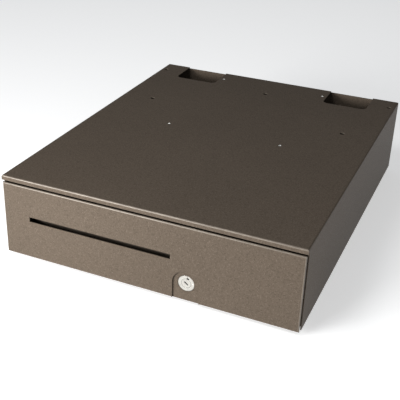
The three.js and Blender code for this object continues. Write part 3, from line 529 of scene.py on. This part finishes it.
# a copy of a sub-part with its triangles joined, its flat faces whole and its edges broken
def finishedCopy(name):
    slot = slotOf[name]
    coated = slot == "powder_coat"
    steepest, shallowest = shells["foldFacing"]
    corner = math.radians(shells["cornerAngle"])
    shell = bmesh.new()
    shell.from_mesh(nodes[name].data)
    bmesh.ops.remove_doubles(shell, verts=shell.verts, dist=shells["weld"])
    bmesh.ops.dissolve_limit(shell, angle_limit=math.radians(shells["flatAngle"]),
                             verts=shell.verts, edges=shell.edges)
    # a face that is notched or runs round a hole is split, or triangles could cross its opening
    manySided = [face for face in shell.faces if len(face.verts) > 4]
    bmesh.ops.connect_verts_concave(shell, faces=manySided)
    for face in shell.faces:
        face.smooth = True
        # folds that face the user take the powder with the painted highlight
        face.material_index = int(coated and steepest < face.normal.y < shallowest)
    mesh = bpy.data.meshes.new(name + "_finished")
    shell.to_mesh(mesh)
    shell.free()
    mesh.materials.append(finishes[slot])
    if coated:
        mesh.materials.append(extras["paintedHighlightPowder"])
    mesh.set_sharp_from_angle(angle=corner)
    piece = bpy.data.objects.new(name + "_finished", mesh)
    rounding = piece.modifiers.new("brokenEdges", "BEVEL")
    rounding.width = brokenEdges[slot]
    rounding.segments = shells["cornerSteps"]
    rounding.limit_method = "ANGLE"
    rounding.angle_limit = corner
    rounding.use_clamp_overlap = True
    rounding.harden_normals = False
    rounding.material = 1 if name == "drawer_front" else -1  # the front's broken edges get the painted highlight too
    evened = piece.modifiers.new("evenShading", "WEIGHTED_NORMAL")
    evened.weight = 50
    evened.keep_sharp = False
    rides(piece, bodyOf[name], slot, name)


# pieces that a detailed one stands for get no copy
detailed = {"latch_spring", "ejector_spring", "solenoid_coil"}
detailed |= {name for name in nodes if name.startswith(("top_insert", "foot_"))}
for name in nodes:
    if name not in detailed:
        finishedCopy(name)
says("sub-parts finished")


# four corners a face, each one step along the rows or the columns from the last
def gridFaces(rows, columns, rowsClose):
    row = np.arange(rows if rowsClose else rows - 1)[:, None]
    column = np.arange(columns)[None, :]
    nextRow, nextColumn = (row + 1) % rows, (column + 1) % columns
    corners = (row * columns + column, row * columns + nextColumn,
               nextRow * columns + nextColumn, nextRow * columns + column)
    return np.stack(np.broadcast_arrays(*corners), -1).reshape(-1, 4)


# one mesh from several grids of rows x columns x 3; the columns close on themselves, and the
# rows either do so too or end in caps
def surface(name, grids, slot, body, replaced=(), rowsClose=False, finish=None):
    points, faces, caps, used = [], [], [], 0
    for grid in grids:
        rows, columns = grid.shape[:2]
        points.append(grid.reshape(-1, 3))
        faces.append(gridFaces(rows, columns, rowsClose) + used)
        if not rowsClose:
            firstRow = np.arange(columns) + used
            caps += [firstRow, firstRow + (rows - 1) * columns]
        used += rows * columns
    mesh = bpy.data.meshes.new(name)
    everyFace = np.concatenate(faces).tolist() + [cap.tolist() for cap in caps]
    mesh.from_pydata(np.concatenate(points).tolist(), [], everyFace)
    shell = bmesh.new()
    shell.from_mesh(mesh)
    bmesh.ops.remove_doubles(shell, verts=shell.verts, dist=shells["weld"])
    bmesh.ops.recalc_face_normals(shell, faces=shell.faces)
    for face in shell.faces:
        face.smooth = True
    shell.to_mesh(mesh)
    shell.free()
    mesh.materials.append(finish or finishes[slot])
    mesh.set_sharp_from_angle(angle=math.radians(shells["softAngle"]))
    rides(bpy.data.objects.new(name, mesh), body, slot, *replaced)


# a profile of (radius, distance along the axis), turned: each row is a circle of its radius
def turned(profile, centre, axis="z", sides=32):
    radius, along = np.array(profile, float).T
    angle = np.linspace(0, math.tau, sides, endpoint=False)
    flat = (radius[:, None] * np.cos(angle), radius[:, None] * np.sin(angle))
    depth = np.broadcast_to(along[:, None], flat[0].shape)
    order = {"x": (depth, *flat), "y": (flat[0], depth, flat[1]), "z": (*flat, depth)}[axis]
    return np.stack(order, -1) + np.array(centre, float)


# a round section carried along a path: path + radius * (cos * side + sin * up), where side is
# square to the path's direction and to a fixed one, and up to the direction and the side
def sweep(path, radius, fixed=(0, 0, 1), sides=10):
    direction = np.gradient(path, axis=0)
    direction /= np.linalg.norm(direction, axis=1)[:, None]
    side = np.cross(direction, np.array(fixed, float))
    side /= np.linalg.norm(side, axis=1)[:, None]
    up = np.cross(side, direction)
    angle = np.linspace(0, math.tau, sides, endpoint=False)[None, :, None]
    circle = np.cos(angle) * side[:, None] + np.sin(angle) * up[:, None]
    return path[:, None] + radius * circle


# a spring's centreline: a circle that climbs along the axis, with its two end turns closed up
def coilPath(centre, axis, radius, start, end, turns, wireRadius, perTurn=22):
    share = np.linspace(0, 1, int(turns * perTurn) + 1)
    angle = share * turns * math.tau
    closed = wireRadius * 2 / abs(end - start)
    edge = 1 / turns
    climb = np.interp(share, (0, edge, 1 - edge, 1), (0, closed, 1 - closed, 1))
    along = start + wireRadius + climb * (end - start - 2 * wireRadius)
    flat = (radius * np.cos(angle), radius * np.sin(angle))
    order = {"y": (flat[0], along, flat[1]), "z": (*flat, along)}[axis]
    return np.stack(order, -1) + np.array(centre, float)


# a block with soft edges: a sphere's two angles, each cosine and sine raised to a small power
def softBlock(low, high, power=0.16, rings=20, sides=36):
    def soft(value):
        return np.sign(value) * np.abs(value) ** power

    low, high = np.array(low, float), np.array(high, float)
    polar = np.linspace(-math.pi / 2, math.pi / 2, rings)[:, None]
    angle = np.linspace(0, math.tau, sides, endpoint=False)[None, :]
    level = soft(np.cos(polar))
    ball = (level * soft(np.cos(angle)), level * soft(np.sin(angle)), soft(np.sin(polar)))
    unit = np.stack(np.broadcast_arrays(*ball), -1)
    return (low + high) / 2 + unit * (high - low) / 2


# threaded inserts in the top, with a countersunk mouth
insert = {
    "neck": 2.1 * mm,
    "bore": 1.25 * mm,
    "mouth": 1.7 * mm,
    "threadStart": 0.56 * mm,
    "threadEnd": 0.2 * mm,
    "pitch": 0.5 * mm,
    "threadDepth": 0.18 * mm,
    "flangeDrop": 1.5 * mm,  # the flange is under the sheet, and the neck comes through it
    "footBreak": 0.3 * mm,
    "flangeBreak": 0.2 * mm,
    "neckBreak": 0.12 * mm,
    "sides": 24,
}


# the profile runs down the bore in a zigzag of half pitches, and back up outside
def threadedInsert(name):
    low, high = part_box(name)
    centre = ((low.x + high.x) / 2, (low.y + high.y) / 2, 0)
    flange = (high.x - low.x) / 2
    flangeTop = high.z - insert["flangeDrop"]
    neck, bore = insert["neck"], insert["bore"]
    footBreak, flangeBreak = insert["footBreak"], insert["flangeBreak"]
    neckBreak = insert["neckBreak"]
    ring = np.arange(int((high.z - low.z) / insert["pitch"]) * 2 - 1)
    heights = high.z - insert["threadStart"] - ring * insert["pitch"] / 2
    heights = heights[heights > low.z + insert["threadEnd"]]
    thread = [(bore + (index % 2) * insert["threadDepth"], height)
              for index, height in enumerate(heights)]
    profile = [
        (insert["mouth"], high.z),
        *thread,
        (bore, low.z),
        (flange - footBreak, low.z),
        (flange, low.z + footBreak),
        (flange, flangeTop - flangeBreak),
        (flange - flangeBreak, flangeTop),
        (neck, flangeTop),
        (neck, high.z - neckBreak),
        (neck - neckBreak, high.z),
    ]
    surface(name + "_threaded", [turned(profile, centre, sides=insert["sides"])], "zinc_steel",
            bodyOf[name], (name,), rowsClose=True, finish=extras["zincInsertWithGlint"])


for name in nodes:
    if name.startswith("top_insert"):
        threadedInsert(name)


# feet: a rubber sole with rings of tread, and a barbed stem that pushes into the base
foot = {
    "treadStart": 0.4 * mm,
    "treadDepth": 0.5 * mm,
    "treadPitch": 2.4 * mm,
    "treadSteps": 33,
    "rim": 1.2 * mm,
    "rimSteps": 6,
    "gap": 0.3 * mm,  # under the case
    "topBreak": 0.4 * mm,
    "stem": 4 * mm,
    "headRise": 1.5 * mm,
    "barb": ((0, 0), (1.2 * mm, 0), (1.5 * mm, 0.4 * mm)),  # out from the stem, and up
    "tip": ((-1 * mm, -0.3 * mm), (-1.4 * mm, 0)),
    "sides": 40,
}
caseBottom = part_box("case_cover")[0].z


# the tread's depth is a raised cosine of the radius, squared, and the rim is a quarter circle
def rubberFoot(name):
    low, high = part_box(name)
    centre = ((low.x + high.x) / 2, (low.y + high.y) / 2, 0)
    radius = (high.x - low.x) / 2
    rim, stem = foot["rim"], foot["stem"]
    tread = np.linspace(foot["treadStart"], radius - rim, foot["treadSteps"])
    cut = foot["treadDepth"] * (0.5 - 0.5 * np.cos(math.tau * tread / foot["treadPitch"])) ** 2
    sole = zip(tread, low.z + cut * (tread < radius - 2 * rim))
    corner = np.linspace(0, math.pi / 2, foot["rimSteps"])[1:]
    rimCurve = zip(radius - rim * (1 - np.sin(corner)), low.z + rim * (1 - np.cos(corner)))
    top = caseBottom - foot["gap"]
    head = caseBottom + foot["headRise"]
    profile = [
        *sole,
        *rimCurve,
        (radius, top - foot["topBreak"]),
        (radius - foot["topBreak"], top),
        (stem, top),
        *((stem + out, head + up) for out, up in foot["barb"]),
        *((stem + out, high.z + up) for out, up in foot["tip"]),
        (foot["treadStart"], high.z),
    ]
    surface(name + "_moulded", [turned(profile, centre, sides=foot["sides"])], "rubber",
            bodyOf[name], (name,))


for name in nodes:
    if name.startswith("foot_"):
        rubberFoot(name)
says("inserts and feet made")


# springs of round wire, just inside the room that each has
springs = {
    "latch_spring": {"axis": "z", "wireRadius": 0.55 * mm, "turns": 5.5},
    "ejector_spring": {"axis": "y", "wireRadius": 0.6 * mm, "turns": 8},
}
springClearance = 0.05 * mm


def springWire(name):
    spring = springs[name]
    axis, wireRadius = spring["axis"], spring["wireRadius"]
    low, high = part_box(name)
    centre = (low + high) / 2
    setattr(centre, axis, 0)
    radius = (high.x - low.x) / 2 - wireRadius - springClearance
    path = coilPath(centre, axis, radius, getattr(low, axis), getattr(high, axis),
                    spring["turns"], wireRadius)
    fixed = {"y": (0, 1, 0), "z": (0, 0, 1)}[axis]
    surface(name + "_wire", [sweep(path, wireRadius, fixed)], "zinc_steel", bodyOf[name], (name,))


for name in springs:
    springWire(name)


# solenoid coil: windings whose radius swells once for each wire, on a nylon bobbin
bobbin = {
    "flange": 1.2 * mm,
    "tube": 4.4 * mm,
    "bore": 3.85 * mm,
    "windingDrop": 0.7 * mm,  # below the flanges' rims
    "endClearance": 0.05 * mm,
    "tubeClearance": 0.1 * mm,
    "swell": 0.35,  # of a wire's thickness
    "pointsPerWire": 6,
    "edge": 0.25 * mm,
    "windingSides": 48,
    "sides": 40,
}


def solenoidCoil():
    low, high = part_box("solenoid_coil")
    middle = (low + high) / 2
    centre = (0, middle.y, middle.z)
    outside = (high.z - low.z) / 2
    first, last = low.x + bobbin["flange"], high.x - bobbin["flange"]
    tube, bore, edge, thickness = bobbin["tube"], bobbin["bore"], bobbin["edge"], wire["thickness"]
    wires = int((last - first) / thickness)
    along = np.linspace(first + bobbin["endClearance"], last - bobbin["endClearance"],
                        wires * bobbin["pointsPerWire"])
    ridge = np.abs(np.sin(math.pi * (along - first) / thickness))
    radius = outside - bobbin["windingDrop"] - thickness * bobbin["swell"] * (1 - ridge)
    inside = tube + bobbin["tubeClearance"]
    winding = [(inside, along[0]), *zip(radius, along), (inside, along[-1])]
    surface("solenoid_winding", [turned(winding, centre, "x", bobbin["windingSides"])],
            "copper_coil", bodyOf["solenoid_coil"], rowsClose=True)
    spool = [
        (bore, low.x),
        (outside - edge, low.x),
        (outside, low.x + edge),
        (outside, first - edge),
        (outside - edge, first),
        (tube, first),
        (tube, last),
        (outside - edge, last),
        (outside, last + edge),
        (outside, high.x - edge),
        (outside - edge, high.x),
        (bore, high.x),
    ]
    surface("solenoid_bobbin", [turned(spool, centre, "x", bobbin["sides"])], "white_nylon",
            bodyOf["solenoid_coil"], ("solenoid_coil",), rowsClose=True)


solenoidCoil()
says("springs and coil wound")


# balls in the slides' cages: a row of spheres above and below, on the races' middle lines
balls = {
    "radius": 1.25 * mm,
    "perRow": 12,
    "rings": 9,
    "sides": 16,
    "endInset": 8 * mm,
    "depth": {"left": 0.62, "right": 0.38},  # share of the cage's width, from its low side
}


# one ball is a half circle turned: radius * sine out from the axis, radius * cosine along it
def cageBalls(name):
    low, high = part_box(name)
    side = name.rsplit("_", 1)[1]
    x = low.x + (high.x - low.x) * balls["depth"][side]
    radius = balls["radius"]
    polar = np.linspace(0, math.pi, balls["rings"])
    profile = np.stack((radius * np.sin(polar), -radius * np.cos(polar)), -1)
    ball = turned(profile, (0, 0, 0), sides=balls["sides"])
    places = np.linspace(low.y + balls["endInset"], high.y - balls["endInset"], balls["perRow"])
    rows = (low.z + radius, high.z - radius)
    grids = [ball + np.array((x, y, z)) for y in places for z in rows]
    surface(name + "_balls", grids, "zinc_steel", bodyOf[name], finish=extras["ballSteel"])


for name in nodes:
    if name.startswith("cage_"):
        cageBalls(name)


# pan-head screws with a cross cut into the middle of each head
screw = {
    "radius": 3.0 * mm,
    "height": 1.7 * mm,
    "crown": 0.45,  # the share of the height that the dome falls before its rim
    "rim": 0.99,
    "crossHalf": 1.7 * mm,
    "crossWidth": 0.5 * mm,  # half of an arm's width
    "crossDepth": 1.1 * mm,
    "rings": (*np.linspace(0.02, 0.92, 16), 0.97, 1.0),
    "sides": 48,
    "bracketInset": (8 * mm, 6 * mm),
    "bracketSheet": 3.0 * mm,
    "ejectorInset": 3.6 * mm,
    "ejectorSheet": 3.5 * mm,
    "boardInset": 4 * mm,
    "lockInset": (8 * mm, 7 * mm),
    "lockSheet": 1.5 * mm,
    "small": 0.8,
    "smallest": 0.7,
    "large": 1.2,
    "baseAcross": 170 * mm,
    "baseAlong": (50 * mm, -100 * mm, 160 * mm),
}


# height over (radius, angle): height * (1 - crown * radius^4), down to the seat at the rim,
# less the depth where either arm of the cross covers it; the turn is in radians
def screwHead(centre, turn, size, side=1):
    circle = np.linspace(0, math.tau, screw["sides"], endpoint=False)
    share, angle = np.meshgrid(screw["rings"], circle, indexing="ij")
    across, along = (share * screw["radius"] * f(angle) for f in (np.cos, np.sin))
    arm = np.minimum(np.abs(across), np.abs(along)) < screw["crossWidth"]
    reach = np.maximum(np.abs(across), np.abs(along)) < screw["crossHalf"]
    atRim = share > screw["rim"]
    dome = screw["height"] * (1 - screw["crown"] * share ** 4 - (1 - screw["crown"]) * atRim)
    dome = dome - screw["crossDepth"] * (arm & reach)
    point = (across * math.cos(turn) - along * math.sin(turn),
             across * math.sin(turn) + along * math.cos(turn), side * dome)
    return np.stack(point, -1) * size + np.array(centre, float)


# each head's turn comes from its place, so that no two crosses stand alike
def screws():
    heads = []
    low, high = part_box("latch_bracket")
    insetX, insetY = screw["bracketInset"]
    left, right, near, far = low.x + insetX, high.x - insetX, low.y + insetY, high.y - insetY
    for x, y in ((left, near), (right, near), (right, far), (left, far)):
        place = (x, y, caseBottom + screw["bracketSheet"])
        heads.append(screwHead(place, 0.4 + 40 * x, screw["small"]))
    low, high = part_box("ejector_housing")
    for x in (low.x + screw["ejectorInset"], high.x - screw["ejectorInset"]):
        place = (x, (low.y + high.y) / 2, caseBottom + screw["ejectorSheet"])
        heads.append(screwHead(place, 30 * x, screw["small"]))
    low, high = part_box("interface_board")
    for x in (low.x + screw["boardInset"], high.x - screw["boardInset"]):
        for y in (low.y + screw["boardInset"], high.y - screw["boardInset"]):
            heads.append(screwHead((x, y, high.z), 200 * x + 90 * y, screw["smallest"]))
    for y in screw["baseAlong"]:
        for x in (-screw["baseAcross"], screw["baseAcross"]):
            heads.append(screwHead((x, y, caseBottom), 300 * y + x, screw["large"], side=-1))
    surface("fixing_screws", heads, "zinc_steel", "cabinet")
    low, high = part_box("lock_bracket")
    insetX, insetY = screw["lockInset"]
    pair = [screwHead((x, high.y - insetY, low.z + screw["lockSheet"]), 50 * x, screw["small"])
            for x in (low.x + insetX, high.x - insetX)]
    surface("lock_bracket_screws", pair, "zinc_steel", "drawer")


screws()
says("balls and screws placed")


# sprung contacts in the jack, which rise as the sine of a quarter turn, raised to the bend
jack = {
    "contacts": 6,
    "pitch": 1.25 * mm,
    "wireRadius": 0.23 * mm,
    "mouth": 1.6 * mm,
    "length": 9.0 * mm,
    "seat": 1.9 * mm,
    "rise": 4.2 * mm,
    "bend": 1.5,
    "points": 14,
    "sides": 8,
}


def jackContacts():
    low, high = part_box("interface_jack")
    middle = (low.x + high.x) / 2
    share = np.linspace(0, 1, jack["points"])
    y = high.y - jack["mouth"] - share * jack["length"]
    z = low.z + jack["seat"] + jack["rise"] * np.sin(share * math.pi / 2) ** jack["bend"]
    offsets = (np.arange(jack["contacts"]) - (jack["contacts"] - 1) / 2) * jack["pitch"]
    paths = [np.stack((np.full_like(y, middle + offset), y, z), -1) for offset in offsets]
    grids = [sweep(path, jack["wireRadius"], (1, 0, 0), jack["sides"]) for path in paths]
    surface("jack_contacts", grids, "zinc_steel", "cabinet", finish=extras["goldPlate"])


# parts on the board, in mm from its near left corner: x, y, width, depth and height of a block
boardParts = {
    "board_relay": ((7, 3, 13, 8, 9), (9, 14, 9, 5, 2.2), (3, 21, 4, 3, 1.4), (20, 21, 4, 3, 1.4)),
    "board_terminals": ((2, 13, 5, 6, 6), (21, 13, 5, 6, 6)),
    "lift": 0.02,
    "cans": ((11, 25), (17, 25)),
    "canProfile": ((0.2, 0), (2.3, 0), (2.5, 0.3), (2.5, 0.9), (2.3, 1.2), (2.5, 1.5), (2.5, 7.6),
                   (2.2, 8), (0.2, 7.9)),
    "canSides": 24,
}


def fillBoard():
    low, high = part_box("interface_board")
    top = high.z + boardParts["lift"] * mm

    def block(x, y, width, depth, height):
        return softBlock((low.x + x * mm, low.y + y * mm, top),
                         (low.x + (x + width) * mm, low.y + (y + depth) * mm, top + height * mm))

    for name, slot in (("board_relay", "black_plastic"), ("board_terminals", "white_nylon")):
        surface(name, [block(*part) for part in boardParts[name]], slot, "cabinet")
    profile = np.array(boardParts["canProfile"]) * mm
    cans = [turned(profile, (low.x + x * mm, low.y + y * mm, top), sides=boardParts["canSides"])
            for x, y in boardParts["cans"]]
    surface("board_capacitors", cans, "zinc_steel", "cabinet")


jackContacts()
fillBoard()
says("interface fitted")


# soft lights, in metres and watts, over a pale floor
lights = {
    "near": {"place": (-0.30, -0.62, 0.22), "target": (-0.1, -0.25, 0.05), "size": (0.3, 0.2),
             "power": 1.5},
    "low": {"place": (-1.15, -2.3, 0.62), "target": (-0.02, -0.25, 0.05), "size": (1.1, 0.7),
            "power": 57},
    "side": {"place": (0.50, -0.55, 0.60), "target": (0.2, -0.25, 0.06), "size": (0.2, 0.2),
             "power": 0.44},
    "high": {"place": (-0.40, -0.75, 1.25), "target": (0, -0.1, 0.1), "size": (0.5, 0.4),
             "power": 5.8},
    "back": {"place": (-0.3, 1.3, 1.1), "target": (0, 0, 0.1), "size": (1.2, 0.5),
             "power": 0.6},
}
room = {
    "colour": (0.95, 1.0, 1.05),
    "strength": 0.17,
    "floorReach": 40.0,
    "floorColour": (0.9, 0.9, 0.9),
    "floorRoughness": 0.9,
    "floorGlow": 0.47,
}


def addLight(name, place, target, size, power):
    data = bpy.data.lights.new(name, "AREA")
    data.shape = "RECTANGLE"
    data.size, data.size_y = size
    data.energy = power
    light = bpy.data.objects.new(name, data)
    light.location = place
    light.rotation_euler = (Vector(target) - Vector(place)).to_track_quat("-Z", "Y").to_euler()
    bpy.context.scene.collection.objects.link(light)


def studio():
    for name, light in lights.items():
        addLight(name + "Light", **light)
    world = bpy.data.worlds.new("world")
    world.use_nodes = True
    sky = world.node_tree.nodes["Background"].inputs
    sky["Color"].default_value = (*room["colour"], 1)
    sky["Strength"].default_value = room["strength"]
    bpy.context.scene.world = world
    bpy.context.scene.view_settings.view_transform = "Standard"
    reach = room["floorReach"]
    corners = [(-reach, -reach, 0), (reach, -reach, 0), (reach, reach, 0), (-reach, reach, 0)]
    mesh = bpy.data.meshes.new("floor")
    mesh.from_pydata(corners, [], [(0, 1, 2, 3)])
    pale = Shader("paleFloor", Base_Color=room["floorColour"], Roughness=room["floorRoughness"],
                  Emission_Color=(1, 1, 1), Emission_Strength=room["floorGlow"])
    mesh.materials.append(pale.material)
    floor = bpy.data.objects.new("floor", mesh)
    bpy.context.scene.collection.objects.link(floor)


studio()
says("studio lit")
